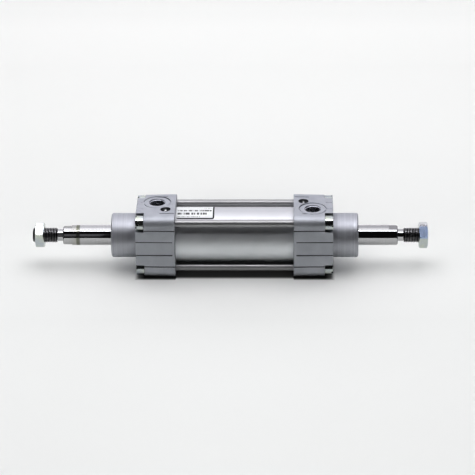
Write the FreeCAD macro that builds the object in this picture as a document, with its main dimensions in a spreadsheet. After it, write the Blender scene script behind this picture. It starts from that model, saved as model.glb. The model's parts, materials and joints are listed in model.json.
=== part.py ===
import FreeCAD, Part
import math
import operator
import os
import Sketcher

# Double-ended pneumatic cylinder with tie rods, bore 40 and stroke 50.
# Frame: origin at the centre of the left cap's mounting face, on the rod axis.
# +X runs along the rod towards the right cap, +Z points up to the ports.

DIMENSIONS = {
    # overall layout along the rod axis
    "body_length": 155.0,
    "cap_length": 31.0,
    "piston_middle": 73.8,
    "rod_shoulder_reach": 132.5,
    # end cap casting
    "cap_side": 52.5,
    "cap_corner_radius": 7.3,
    "cap_draft_angle": 1.1,
    "cap_edge_chamfer": 0.4,
    "collar_radius": 17.5,
    "collar_length": 20.0,
    "collar_chamfer": 0.8,
    "spigot_radius": 19.8,
    "spigot_length": 8.0,
    "tube_seat_depth": 1.0,
    "line_groove_width": 0.8,
    "line_groove_floor": 25.05,
    "panel_floor": 25.7,
    "inner_line_offset": 5.6,
    "outer_line_offset": 15.5,
    "inner_line_end_gap": 2.2,
    # corner pockets, tie rods and their nuts
    "tie_rod_offset": 19.0,
    "tie_rod_radius": 3.0,
    "tie_rod_hole_radius": 3.2,
    "tie_rod_inset": 9.0,
    "pocket_radius": 8.2,
    "pocket_depth": 6.5,
    "nut_head_radius": 6.35,
    "nut_shank_radius": 4.5,
    "nut_shank_hole_radius": 4.6,
    "nut_length": 14.8,
    "nut_hole_depth": 15.0,
    "nut_thread_radius": 2.5,
    "nut_rod_thread_radius": 3.03,
    "nut_notch_width": 1.6,
    "nut_notch_depth": 1.2,
    "nut_notch_floor": 5.0,
    "nut_chamfer": 0.3,
    # air port on top of each cap
    "port_from_face": 16.0,
    "port_offset": 6.0,
    "port_radius": 6.58,
    "port_floor": 13.2,
    "port_passage_radius": 4.0,
    "port_face_radius": 10.2,
    "port_face_level": 25.75,
    "port_ring_width": 0.7,
    "port_ring_floor": 25.0,
    # cushion screw and its hole
    "screw_from_face": 23.2,
    "screw_offset": 7.65,
    "screw_mouth_radius": 4.0,
    "screw_mouth_floor": 21.6,
    "screw_thread_radius": 3.0,
    "screw_thread_floor": 18.4,
    "screw_bore_radius": 2.5,
    "screw_bore_floor": 13.4,
    "screw_seat_radius": 1.1,
    "screw_fit_gap": 0.04,
    "screw_stub_radius": 0.9,
    "screw_stub_top": 25.4,
    "screw_body_top": 21.4,
    "screw_tip_level": 13.0,
    "screw_cone_level": 15.2,
    "screw_tip_radius": 0.5,
    "screw_gland_radius": 1.6,
    "screw_gland_low": 16.4,
    "screw_gland_high": 17.9,
    "screw_slot_width": 0.5,
    "screw_slot_depth": 0.6,
    "passage_radius": 1.0,
    "passage_height": 14.5,
    # seal and bearing seats round the rod inside each cap
    "wiper_depth": 4.5,
    "wiper_radius": 12.2,
    "rod_land_radius": 8.5,
    "rod_seal_start": -14.8,
    "rod_seal_end": -9.2,
    "rod_seal_radius": 11.6,
    "bearing_start": -8.5,
    "bearing_end": 9.5,
    "bearing_radius": 9.5,
    "bearing_bore_radius": 8.04,
    "chamber_radius": 11.5,
    "cushion_gland_start": 33.6,
    "cushion_gland_end": 37.6,
    "cushion_gland_radius": 13.2,
    "cushion_mouth_radius": 11.0,
    "tube_gland_start": 32.4,
    "tube_gland_end": 35.0,
    "tube_gland_radius": 17.9,
    "seal_gap": 0.05,
    "lip_gap": 0.03,
    "lip_notch": 1.2,
    # cylinder tube and sticker
    "tube_outer_radius": 22.25,
    "tube_inner_radius": 20.0,
    "tube_bevel": 0.3,
    "label_gap": 0.01,
    "label_thickness": 0.12,
    "label_start": 31.5,
    "label_length": 30.0,
    "label_half_angle": 30.5,
    "label_corner_radius": 2.0,
    # piston rod halves
    "rod_radius": 8.0,
    "rod_end_chamfer": 0.8,
    "rod_neck_radius": 6.0,
    "rod_stud_radius": 4.0,
    "rod_stud_length": 12.0,
    "rod_socket_depth": 13.0,
    "joint_gap": 0.02,
    "flats_across": 13.0,
    "flats_length": 7.0,
    "thread_length": 24.0,
    "thread_radius": 5.98,
    "thread_root_radius": 5.25,
    "thread_pitch": 1.25,
    "thread_crest": 0.16,
    "thread_rings": 15,
    "relief_length": 4.4,
    "relief_radius": 4.7,
    "thread_end_chamfer": 0.9,
    # rod-end nuts
    "hex_across_flats": 19.0,
    "hex_thickness": 7.0,
    "hex_bore_radius": 6.03,
    "hex_mouth_radius": 6.6,
    "hex_bevel_height": 1.25,
    "hex_face_radius": 9.0,
    "left_nut_start": -80.7,
    "right_nut_start": 223.0,
    # piston
    "piston_half_length": 13.3,
    "piston_bore_radius": 6.03,
    "piston_land_radius": 19.4,
    "piston_end_land": 1.5,
    "piston_gland_length": 4.4,
    "piston_gland_radius": 15.2,
    "piston_mid_land": 2.0,
    "guide_seat_radius": 18.2,
    "guide_ledge": 1.4,
    "guide_outer_radius": 19.95,
    "magnet_seat_radius": 14.0,
    "magnet_gap": 0.1,
    "rod_oring_radius": 0.8,
    # cushion sleeves
    "sleeve_radius": 10.0,
    "sleeve_length": 18.0,
    "sleeve_nose": 1.5,
    "sleeve_bore_radius": 8.02,
}


class Size:
    """A length that carries its value and the spreadsheet formula behind it."""

    def __init__(self, value, formula):
        self.value = float(value)
        self.formula = formula

    def __add__(self, other):
        return join_sizes(self, "+", other)

    def __sub__(self, other):
        return join_sizes(self, "-", other)

    def __mul__(self, other):
        return join_sizes(self, "*", other)

    def __truediv__(self, other):
        return join_sizes(self, "/", other)

    def __neg__(self):
        return Size(-self.value, "-(%s)" % self.formula)


OPERATORS = {"+": operator.add, "-": operator.sub, "*": operator.mul, "/": operator.truediv}


def join_sizes(left, sign, right):
    """Combine two sizes, or a size and a plain number, into one size."""
    right = fixed(right)
    value = OPERATORS[sign](left.value, right.value)
    return Size(value, "(%s %s %s)" % (left.formula, sign, right.formula))


def fixed(number):
    """Turn a plain number into a size; a size passes through unchanged."""
    if isinstance(number, Size):
        return number
    return Size(number, repr(float(number)))


def size(name):
    """Look up one named dimension as a size."""
    return Size(DIMENSIONS[name], "Dimensions." + name)


ZERO = fixed(0)


def make_sheet(document):
    """Write every driving dimension into the spreadsheet with its name as alias."""
    sheet = document.addObject("Spreadsheet::Sheet", "Dimensions")
    for row, (name, value) in enumerate(DIMENSIONS.items(), start=1):
        sheet.set("A%d" % row, name)
        sheet.set("B%d" % row, str(value))
        sheet.setAlias("B%d" % row, name)
    document.recompute()


# ---------------------------------------------------------------- sketches


def new_sketch(body, name, plane, offset=ZERO):
    """Put an empty sketch on one of the body's origin planes, moved along its normal."""
    sketch = body.newObject("Sketcher::SketchObject", name)
    support = [item for item in body.Origin.OriginFeatures if item.Role == plane][0]
    sketch.AttachmentSupport = (support, [""])
    sketch.MapMode = "FlatFace"
    sketch.AttachmentOffset = FreeCAD.Placement(
        FreeCAD.Vector(0, 0, offset.value), FreeCAD.Rotation()
    )
    if offset is not ZERO:
        sketch.setExpression("AttachmentOffset.Base.z", offset.formula)
    return sketch


def hold_point(sketch, geometry, vertex, across, up):
    """Hold one vertex at a distance across and up from the sketch origin."""
    for kind, axis, distance in (("DistanceX", -2, across), ("DistanceY", -1, up)):
        if distance.value == 0:
            sketch.addConstraint(Sketcher.Constraint("PointOnObject", geometry, vertex, axis))
            continue
        index = sketch.addConstraint(
            Sketcher.Constraint(kind, -1, 1, geometry, vertex, distance.value)
        )
        sketch.setExpression("Constraints[%d]" % index, distance.formula)


def draw_outline(sketch, corners):
    """Draw a closed straight-sided outline with every corner held by formula."""
    first = sketch.GeometryCount
    count = len(corners)
    points = [FreeCAD.Vector(across.value, up.value, 0) for across, up in corners]
    lines = [Part.LineSegment(points[i], points[(i + 1) % count]) for i in range(count)]
    sketch.addGeometry(lines, False)
    sketch.addConstraint([
        Sketcher.Constraint("Coincident", first + i, 2, first + (i + 1) % count, 1)
        for i in range(count)
    ])
    for i, (across, up) in enumerate(corners):
        hold_point(sketch, first + i, 1, across, up)


def draw_rectangle(sketch, left, right, low, high):
    """Draw a rectangle between two positions across and two positions up."""
    draw_outline(sketch, [(left, low), (right, low), (right, high), (left, high)])


def draw_circle(sketch, across, up, radius):
    """Draw a circle with its centre and radius held by formula."""
    centre = FreeCAD.Vector(across.value, up.value, 0)
    circle = Part.Circle(centre, FreeCAD.Vector(0, 0, 1), radius.value)
    index = sketch.addGeometry(circle, False)
    hold_point(sketch, index, 3, across, up)
    rule = sketch.addConstraint(Sketcher.Constraint("Radius", index, radius.value))
    sketch.setExpression("Constraints[%d]" % rule, radius.formula)


def draw_rounded_square(sketch, side, radius):
    """Draw a square with rounded corners, centred on the sketch origin."""
    half = side.value / 2
    inner = half - radius.value
    first = sketch.GeometryCount
    for turn in range(4):
        spin = FreeCAD.Rotation(FreeCAD.Vector(0, 0, 1), 90 * turn)
        start = spin.multVec(FreeCAD.Vector(-inner, -half, 0))
        end = spin.multVec(FreeCAD.Vector(inner, -half, 0))
        centre = spin.multVec(FreeCAD.Vector(inner, -inner, 0))
        circle = Part.Circle(centre, FreeCAD.Vector(0, 0, 1), radius.value)
        begin = math.radians(90 * turn - 90)
        sketch.addGeometry(Part.LineSegment(start, end), False)
        sketch.addGeometry(Part.ArcOfCircle(circle, begin, begin + math.pi / 2), False)
    for turn in range(4):
        line = first + 2 * turn
        arc = line + 1
        next_line = first + (2 * turn + 2) % 8
        sketch.addConstraint(Sketcher.Constraint("Tangent", line, 2, arc, 1))
        sketch.addConstraint(Sketcher.Constraint("Tangent", arc, 2, next_line, 1))
        hold_point(sketch, arc, 3, *corner_centre(side, radius, turn))
    rule = sketch.addConstraint(Sketcher.Constraint("Radius", first + 1, radius.value))
    sketch.setExpression("Constraints[%d]" % rule, radius.formula)
    # three sides set square; the fourth follows from the shared corner centres
    for turn in range(3):
        kind = "Horizontal" if turn % 2 == 0 else "Vertical"
        sketch.addConstraint(Sketcher.Constraint(kind, first + 2 * turn))


def corner_centre(side, radius, turn):
    """Give the centre of one rounded corner, counted anticlockwise from lower right."""
    inner = side / 2 - radius
    across = inner if turn in (0, 1) else -inner
    up = inner if turn in (1, 2) else -inner
    return across, up


# ---------------------------------------------------------------- features


def new_body(document, label):
    """Start one named sub-part."""
    body = document.addObject("PartDesign::Body", label)
    body.Label = label
    return body


def finish_feature(body, feature):
    """Make a feature the body's newest and compute it."""
    body.Tip = feature
    body.Document.recompute()
    return feature


def revolve(body, name, corners, cut=False):
    """Turn an outline of (along X, radius) points round the X axis."""
    sketch = new_sketch(body, name + "Sketch", "XY_Plane")
    draw_outline(sketch, corners)
    kind = "PartDesign::Groove" if cut else "PartDesign::Revolution"
    feature = body.newObject(kind, name)
    feature.Profile = sketch
    feature.ReferenceAxis = (sketch, ["H_Axis"])
    feature.Angle = 360
    return finish_feature(body, feature)


def revolve_upright(body, name, corners, cut=False):
    """Turn an outline of (radius, height) points round the Z axis."""
    sketch = new_sketch(body, name + "Sketch", "XZ_Plane")
    draw_outline(sketch, corners)
    kind = "PartDesign::Groove" if cut else "PartDesign::Revolution"
    feature = body.newObject(kind, name)
    feature.Profile = sketch
    feature.ReferenceAxis = (sketch, ["V_Axis"])
    feature.Angle = 360
    return finish_feature(body, feature)


def pad(body, sketch, length, backwards=False):
    """Raise a sketch by a length along its normal, or against it."""
    feature = body.newObject("PartDesign::Pad", sketch.Name.replace("Sketch", "Pad"))
    feature.Profile = sketch
    feature.Length = length.value
    feature.setExpression("Length", length.formula)
    feature.Reversed = backwards
    return finish_feature(body, feature)


def pocket(body, sketch, length, along_normal=False):
    """Cut a sketch to a length against its normal, or along it."""
    feature = body.newObject("PartDesign::Pocket", sketch.Name.replace("Sketch", "Pocket"))
    feature.Profile = sketch
    feature.Length = length.value
    feature.setExpression("Length", length.formula)
    feature.Reversed = along_normal
    return finish_feature(body, feature)


def pocket_both_ways(body, sketch):
    """Cut a sketch right through the body on both sides of its plane."""
    feature = body.newObject("PartDesign::Pocket", sketch.Name.replace("Sketch", "Pocket"))
    feature.Profile = sketch
    feature.Type = 1
    feature.Midplane = True
    return finish_feature(body, feature)


def edges_on_plane(shape, position):
    """Name the edges that lie wholly in the plane at one X position."""
    names = []
    for number, edge in enumerate(shape.Edges, start=1):
        box = edge.BoundBox
        if abs(box.XMin - position) < 1e-4 and abs(box.XMax - position) < 1e-4:
            names.append("Edge%d" % number)
    return names


def chamfer(body, base, names, width):
    """Bevel the named edges of the newest feature."""
    feature = body.newObject("PartDesign::Chamfer", base.Name + "Chamfer")
    feature.Base = (base, names)
    feature.Size = width.value
    feature.setExpression("Size", width.formula)
    return finish_feature(body, feature)


def place(body, offset=(0, 0, 0), axis=(1, 0, 0), angle=0):
    """Set a sub-part in the assembly."""
    rotation = FreeCAD.Rotation(FreeCAD.Vector(*axis), angle)
    body.Placement = FreeCAD.Placement(FreeCAD.Vector(*offset), rotation)
    return body


# ---------------------------------------------------------------- end caps


def cap_block(body):
    """Cast block of the cap, drafted so that it narrows towards the mounting face."""
    length = size("cap_length")
    sketch = new_sketch(body, "BlockSketch", "YZ_Plane", length)
    draw_rounded_square(sketch, size("cap_side"), size("cap_corner_radius"))
    block = pad(body, sketch, length, backwards=True)
    block.TaperAngle = -DIMENSIONS["cap_draft_angle"]
    block.setExpression("TaperAngle", "-Dimensions.cap_draft_angle")
    body.Document.recompute()
    rims = edges_on_plane(block.Shape, 0) + edges_on_plane(block.Shape, length.value)
    chamfer(body, block, rims, size("cap_edge_chamfer"))


def cap_turned_ends(body):
    """Collar in front of the mounting face and spigot that enters the tube."""
    collar_end = -size("collar_length")
    radius = size("collar_radius")
    bevel = size("collar_chamfer")
    revolve(body, "Collar", [
        (collar_end, ZERO),
        (fixed(2), ZERO),
        (fixed(2), radius),
        (collar_end + bevel, radius),
        (collar_end, radius - bevel),
    ])
    start = size("cap_length") - 2
    end = size("cap_length") + size("spigot_length")
    spigot = size("spigot_radius")
    revolve(body, "Spigot", [
        (start, ZERO),
        (end, ZERO),
        (end, spigot - 0.4),
        (end - 0.4, spigot),
        (start, spigot),
    ])
    seat = size("cap_length") - size("tube_seat_depth")
    revolve(body, "TubeSeat", [
        (seat, spigot),
        (seat, size("tube_outer_radius") + 0.05),
        (size("cap_length") + 1, size("tube_outer_radius") + 0.05),
        (size("cap_length") + 1, spigot),
    ], cut=True)
    revolve(body, "TubeRingGroove", [
        (size("tube_gland_start"), size("tube_gland_radius")),
        (size("tube_gland_end"), size("tube_gland_radius")),
        (size("tube_gland_end"), spigot + 1),
        (size("tube_gland_start"), spigot + 1),
    ], cut=True)


def cap_bore(body):
    """Stepped bore for wiper, rod seal, bearing, cushion chamber and cushion seal."""
    collar_end = -size("collar_length")
    end = size("cap_length") + size("spigot_length")
    wiper_end = collar_end + size("wiper_depth")
    revolve(body, "Bore", [
        (collar_end - 1, ZERO),
        (end + 1, ZERO),
        (end + 1, size("cushion_mouth_radius")),
        (size("cushion_gland_end"), size("cushion_mouth_radius")),
        (size("cushion_gland_end"), size("cushion_gland_radius")),
        (size("cushion_gland_start"), size("cushion_gland_radius")),
        (size("cushion_gland_start"), size("chamber_radius")),
        (size("bearing_end"), size("chamber_radius")),
        (size("bearing_end"), size("bearing_radius")),
        (size("bearing_start"), size("bearing_radius")),
        (size("bearing_start"), size("rod_land_radius")),
        (size("rod_seal_end"), size("rod_land_radius")),
        (size("rod_seal_end"), size("rod_seal_radius")),
        (size("rod_seal_start"), size("rod_seal_radius")),
        (size("rod_seal_start"), size("rod_land_radius")),
        (wiper_end, size("rod_land_radius")),
        (wiper_end, size("wiper_radius")),
        (collar_end - 1, size("wiper_radius")),
    ], cut=True)


def cap_corners(body):
    """Corner pockets for the tie-rod nuts, with their shank and tie-rod holes."""
    offset = size("tie_rod_offset")
    steps = (
        ("CornerSketch", size("pocket_radius"), size("pocket_depth")),
        ("ShankSketch", size("nut_shank_hole_radius"), size("nut_hole_depth")),
        ("TieRodSketch", size("tie_rod_hole_radius"), size("cap_length") + 1),
    )
    for name, radius, depth in steps:
        sketch = new_sketch(body, name, "YZ_Plane")
        for across in (offset, -offset):
            for up in (offset, -offset):
                draw_circle(sketch, across, up, radius)
        pocket(body, sketch, depth, along_normal=True)


def cap_line_grooves(body):
    """Thin straight grooves that divide the cast side faces into panels."""
    half = size("line_groove_width") / 2
    low = size("line_groove_floor")
    high = size("cap_side") / 2 + 1
    inner = size("inner_line_offset")
    outer = size("outer_line_offset")

    full = new_sketch(body, "LongLineSketch", "YZ_Plane")
    for line in (outer, -outer):
        for near, far in ((low, high), (-high, -low)):
            draw_rectangle(full, near, far, line - half, line + half)
        draw_rectangle(full, line - half, line + half, -high, -low)
    pocket(body, full, size("cap_length"), along_normal=True)

    short = new_sketch(body, "ShortLineSketch", "YZ_Plane")
    panels = new_sketch(body, "PanelSketch", "YZ_Plane")
    floor = size("panel_floor")
    for near, far in ((floor, high), (-high, -floor)):
        draw_rectangle(panels, near, far, -inner, inner)
    draw_rectangle(panels, -inner, inner, -high, -floor)
    panel_length = size("cap_length") - size("inner_line_end_gap")
    for line in (inner, -inner):
        for near, far in ((low, high), (-high, -low)):
            draw_rectangle(short, near, far, line - half, line + half)
        draw_rectangle(short, line - half, line + half, -high, -low)
    pocket(body, short, panel_length, along_normal=True)
    pocket(body, panels, panel_length, along_normal=True)

    # the top face has only short lengths, broken by the port and the cushion screw
    top = new_sketch(body, "TopLineSketch", "XY_Plane", size("cap_side") / 2)
    port = size("port_from_face")
    for line in (inner, -inner):
        draw_rectangle(top, fixed(-1), port - size("port_face_radius"), line - half, line + half)
    draw_rectangle(top, port + 2.8, size("cap_length") - 0.6, -outer - half, -outer + half)
    draw_rectangle(top, port, port + 8.2, outer + 0.5 - half, outer + 0.5 + half)
    pocket(body, top, size("cap_side") / 2 - low)


def cap_port(body):
    """Flat port face with a ring groove round it, and the port hole into the chamber."""
    along = size("port_from_face")
    offset = size("port_offset")
    half = size("cap_side") / 2
    face_radius = size("port_face_radius")

    ring = new_sketch(body, "PortRingSketch", "XY_Plane", half)
    draw_circle(ring, along, offset, face_radius + size("port_ring_width"))
    draw_circle(ring, along, offset, face_radius)
    pocket(body, ring, half - size("port_ring_floor"))

    steps = (
        ("PortFaceSketch", face_radius, size("port_face_level")),
        ("PortHoleSketch", size("port_radius"), size("port_floor")),
        ("PortPassageSketch", size("port_passage_radius"), fixed(6)),
    )
    for name, radius, floor in steps:
        sketch = new_sketch(body, name, "XY_Plane", half)
        draw_circle(sketch, along, offset, radius)
        pocket(body, sketch, half - floor)


def cap_screw_hole(body):
    """Hole for the cushion screw, its seat, and the air passage from the tube side."""
    along = size("screw_from_face")
    offset = -size("screw_offset")
    half = size("cap_side") / 2
    gap = size("screw_fit_gap")
    steps = (
        ("ScrewMouthSketch", size("screw_mouth_radius"), size("screw_mouth_floor")),
        ("ScrewThreadSketch", size("screw_thread_radius") + gap, size("screw_thread_floor")),
        ("ScrewBoreSketch", size("screw_bore_radius") + gap, size("screw_bore_floor")),
        ("ScrewSeatSketch", size("screw_seat_radius"), fixed(6)),
    )
    for name, radius, floor in steps:
        sketch = new_sketch(body, name, "XY_Plane", half)
        draw_circle(sketch, along, offset, radius)
        pocket(body, sketch, half - floor)
    end = size("cap_length") + size("spigot_length")
    passage = new_sketch(body, "PassageSketch", "YZ_Plane", end)
    draw_circle(passage, offset, size("passage_height"), size("passage_radius"))
    pocket(body, passage, end - along)


def end_cap(document, label):
    """One complete end cap, drawn as the left one."""
    body = new_body(document, label)
    cap_block(body)
    cap_turned_ends(body)
    cap_bore(body)
    cap_corners(body)
    cap_line_grooves(body)
    cap_port(body)
    cap_screw_hole(body)
    return body


# ---------------------------------------------------------------- tube and tie rods


def barrel_tube(document):
    """Drawn aluminium tube held between the two caps."""
    body = new_body(document, "barrel_tube")
    start = size("cap_length") - size("tube_seat_depth")
    end = size("body_length") - start
    outer = size("tube_outer_radius")
    inner = size("tube_inner_radius")
    bevel = size("tube_bevel")
    revolve(body, "Tube", [
        (start, inner + bevel),
        (start, outer - bevel),
        (start + bevel, outer),
        (end - bevel, outer),
        (end, outer - bevel),
        (end, inner + bevel),
        (end - bevel, inner),
        (start + bevel, inner),
    ])
    return body


def barrel_label(document):
    """Thin sticker that wraps over the top of the tube."""
    body = new_body(document, "barrel_label")
    inner = size("tube_outer_radius") + size("label_gap")
    outer = inner + size("label_thickness")
    reach = outer + 5
    slope = math.tan(math.radians(DIMENSIONS["label_half_angle"]))
    sketch = new_sketch(body, "LabelSketch", "YZ_Plane", size("label_start"))
    draw_circle(sketch, ZERO, ZERO, outer)
    draw_circle(sketch, ZERO, ZERO, inner)
    pad(body, sketch, size("label_length"))
    trim = new_sketch(body, "TrimSketch", "YZ_Plane", size("label_start") - 1)
    draw_outline(trim, [
        (ZERO, ZERO),
        (reach * slope, reach),
        (reach * 2, reach),
        (reach * 2, -reach),
        (-reach * 2, -reach),
        (-reach * 2, reach),
        (-reach * slope, reach),
    ])
    cut = pocket(body, trim, size("label_length") + 2, along_normal=True)
    names = []
    for number, edge in enumerate(cut.Shape.Edges, start=1):
        box = edge.BoundBox
        if box.XLength < 1e-6 and edge.Length < 2 * DIMENSIONS["label_thickness"]:
            names.append("Edge%d" % number)
    rounded = body.newObject("PartDesign::Fillet", "LabelCorners")
    rounded.Base = (cut, names)
    rounded.Radius = DIMENSIONS["label_corner_radius"]
    rounded.setExpression("Radius", "Dimensions.label_corner_radius")
    finish_feature(body, rounded)
    return body


def tie_rod(document, label):
    """Plain tie rod with bevelled ends, drawn on the X axis."""
    body = new_body(document, label)
    start = size("tie_rod_inset")
    end = size("body_length") - start
    radius = size("tie_rod_radius")
    bevel = fixed(0.5)
    revolve(body, "TieRod", [
        (start, ZERO),
        (start, radius - bevel),
        (start + bevel, radius),
        (end - bevel, radius),
        (end, radius - bevel),
        (end, ZERO),
    ])
    return body


def tie_rod_nut(document, label):
    """Round nut: thread for a mounting screw in front, thread for the tie rod behind."""
    body = new_body(document, label)
    head_end = size("pocket_depth")
    end = size("nut_length")
    head = size("nut_head_radius")
    bevel = size("nut_chamfer")
    thread = size("nut_thread_radius")
    rod_thread = size("nut_rod_thread_radius")
    step = size("tie_rod_inset") - 0.2
    revolve(body, "Nut", [
        (ZERO, thread),
        (ZERO, head - bevel),
        (bevel, head),
        (head_end - bevel, head),
        (head_end, head - bevel),
        (head_end, size("nut_shank_radius")),
        (end, size("nut_shank_radius")),
        (end, rod_thread),
        (step, rod_thread),
        (step, thread),
    ])
    sketch = new_sketch(body, "NotchSketch", "YZ_Plane")
    half = size("nut_notch_width") / 2
    near = size("nut_notch_floor")
    far = head + 1
    draw_rectangle(sketch, near, far, -half, half)
    draw_rectangle(sketch, -far, -near, -half, half)
    draw_rectangle(sketch, -half, half, near, far)
    draw_rectangle(sketch, -half, half, -far, -near)
    pocket(body, sketch, size("nut_notch_depth"), along_normal=True)
    return body


# ---------------------------------------------------------------- piston rod


def rod_outline_outer_end(tip, shoulder, sign):
    """Threaded end of a rod half, from the tip on the axis to behind the shoulder."""
    inward = fixed(sign)
    thread = size("thread_radius")
    relief = size("relief_radius")
    bevel = size("thread_end_chamfer")
    relief_start = shoulder - inward * size("relief_length")
    return [
        (tip, ZERO),
        (tip, thread - bevel),
        (tip + inward * bevel, thread),
        (relief_start - inward * 0.8, thread),
        (relief_start, relief),
        (shoulder, relief),
        (shoulder, size("rod_radius") - size("rod_end_chamfer")),
        (shoulder + inward * size("rod_end_chamfer"), size("rod_radius")),
    ]


def rod_thread(body, first_root, direction):
    """Row of V-shaped rings that stand for the thread at the rod end."""
    sketch = new_sketch(body, "ThreadSketch", "XY_Plane")
    root = size("thread_root_radius")
    crest = size("thread_radius") + 0.05
    half = (size("thread_pitch") - size("thread_crest")) / 2
    draw_outline(sketch, [
        (first_root - half, crest),
        (first_root - 0.08, root),
        (first_root + 0.08, root),
        (first_root + half, crest),
    ])
    ring = body.newObject("PartDesign::Groove", "ThreadRing")
    ring.Profile = sketch
    ring.ReferenceAxis = (sketch, ["H_Axis"])
    ring.Angle = 360
    finish_feature(body, ring)
    pattern = body.newObject("PartDesign::LinearPattern", "ThreadRings")
    pattern.Originals = [ring]
    pattern.Direction = (sketch, ["H_Axis"])
    pattern.Reversed = direction < 0
    pattern.setExpression("Occurrences", "Dimensions.thread_rings")
    pattern.setExpression("Length", "Dimensions.thread_pitch * (Dimensions.thread_rings - 1)")
    finish_feature(body, pattern)


def wrench_flats(body, start, end):
    """Two parallel flats across the rod for holding it with a spanner."""
    sketch = new_sketch(body, "FlatsSketch", "XZ_Plane")
    near = size("flats_across") / 2
    far = size("rod_radius") + 1
    draw_rectangle(sketch, start, end, near, far)
    draw_rectangle(sketch, start, end, -far, -near)
    pocket_both_ways(body, sketch)


def left_rod(document):
    """Left rod half: threaded end, shaft, neck through the piston and joining stud."""
    body = new_body(document, "left_rod")
    shoulder = size("piston_middle") - size("rod_shoulder_reach")
    tip = shoulder - size("thread_length")
    neck_start = size("piston_middle") - size("piston_half_length")
    neck_end = size("piston_middle") + size("piston_half_length")
    stud_end = neck_end + size("rod_stud_length")
    neck = size("rod_neck_radius")
    stud = size("rod_stud_radius")
    revolve(body, "Rod", rod_outline_outer_end(tip, shoulder, 1) + [
        (neck_start, size("rod_radius")),
        (neck_start, neck),
        (neck_end, neck),
        (neck_end, stud),
        (stud_end - 0.5, stud),
        (stud_end, stud - 0.5),
        (stud_end, ZERO),
    ])
    wrench_flats(body, shoulder, shoulder + size("flats_length"))
    rod_thread(body, tip + 1.2, 1)
    return body


def right_rod(document):
    """Right rod half: socket for the stud, shaft and threaded end."""
    body = new_body(document, "right_rod")
    shoulder = size("piston_middle") + size("rod_shoulder_reach")
    tip = shoulder + size("thread_length")
    start = size("piston_middle") + size("piston_half_length")
    socket = size("rod_stud_radius") + size("joint_gap")
    socket_end = start + size("rod_socket_depth")
    outer_end = rod_outline_outer_end(tip, shoulder, -1)
    revolve(body, "Rod", outer_end + [
        (start, size("rod_radius")),
        (start, socket),
        (socket_end, socket),
        (socket_end, ZERO),
    ])
    wrench_flats(body, shoulder - size("flats_length"), shoulder)
    rod_thread(body, tip - 1.2, -1)
    return body


def rod_nut(document, label):
    """Flat hexagon nut with bevelled corners, drawn from X = 0."""
    body = new_body(document, label)
    thickness = size("hex_thickness")
    apothem = size("hex_across_flats") / 2
    corner = apothem / math.cos(math.pi / 6)
    sketch = new_sketch(body, "HexSketch", "YZ_Plane")
    half_flat = corner / 2
    draw_outline(sketch, [
        (corner, ZERO),
        (half_flat, apothem),
        (-half_flat, apothem),
        (-corner, ZERO),
        (-half_flat, -apothem),
        (half_flat, -apothem),
    ])
    pad(body, sketch, thickness)
    bore = size("hex_bore_radius")
    mouth = size("hex_mouth_radius")
    bevel = mouth - bore
    revolve(body, "NutBore", [
        (fixed(-1), ZERO),
        (thickness + 1, ZERO),
        (thickness + 1, mouth),
        (thickness, mouth),
        (thickness - bevel, bore),
        (bevel, bore),
        (ZERO, mouth),
        (fixed(-1), mouth),
    ], cut=True)
    face = size("hex_face_radius")
    height = size("hex_bevel_height")
    outside = corner + 1
    for name, level, inward in (("OuterBevel", ZERO, 1), ("InnerBevel", thickness, -1)):
        depth = height * inward
        revolve(body, name, [
            (level - fixed(inward), face),
            (level, face),
            (level + depth, outside),
            (level - fixed(inward), outside),
        ], cut=True)
    return body


# ---------------------------------------------------------------- piston


def piston_half(document, label):
    """Half of the piston, from its outer face at X = 0 to the joint at the middle."""
    body = new_body(document, label)
    end = size("piston_half_length")
    bore = size("piston_bore_radius")
    land = size("piston_land_radius")
    gland_start = size("piston_end_land")
    gland_end = gland_start + size("piston_gland_length")
    seat_start = gland_end + size("piston_mid_land")
    magnet_start = seat_start + size("guide_ledge")
    ring = size("rod_oring_radius") * 2
    revolve(body, "Piston", [
        (ZERO, bore),
        (ZERO, land - 0.4),
        (fixed(0.4), land),
        (gland_start, land),
        (gland_start, size("piston_gland_radius")),
        (gland_end, size("piston_gland_radius")),
        (gland_end, land),
        (seat_start, land),
        (seat_start, size("guide_seat_radius")),
        (magnet_start, size("guide_seat_radius")),
        (magnet_start, size("magnet_seat_radius")),
        (end, size("magnet_seat_radius")),
        (end, bore + ring),
        (end - size("rod_oring_radius"), bore + ring),
        (end - size("rod_oring_radius"), bore),
    ])
    return body


def plain_ring(document, label, start, end, inner, outer, bevel=0.2):
    """Ring of rectangular section with its outer edges broken."""
    body = new_body(document, label)
    revolve(body, "Ring", [
        (start, inner),
        (start, outer - bevel),
        (start + bevel, outer),
        (end - bevel, outer),
        (end, outer - bevel),
        (end, inner),
    ])
    return body


def lip_seal(document, label, width, inner, outer):
    """Lip seal drawn from X = 0, its notch open towards X = 0."""
    body = new_body(document, label)
    notch = size("lip_notch")
    middle = (inner + outer) / 2
    revolve(body, "Seal", [
        (ZERO, inner),
        (ZERO, middle - notch / 2),
        (notch, middle - 0.2),
        (notch, middle + 0.2),
        (ZERO, middle + notch / 2),
        (ZERO, outer),
        (width - 0.3, outer),
        (width, outer - 0.3),
        (width, inner + 0.3),
        (width - 0.3, inner),
    ])
    return body


def round_ring(document, label, radius, section):
    """O-ring round the X axis, centred on X = 0."""
    body = new_body(document, label)
    sketch = new_sketch(body, "RingSketch", "XY_Plane")
    draw_circle(sketch, ZERO, radius, section)
    feature = body.newObject("PartDesign::Revolution", "Ring")
    feature.Profile = sketch
    feature.ReferenceAxis = (sketch, ["H_Axis"])
    feature.Angle = 360
    finish_feature(body, feature)
    return body


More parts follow.
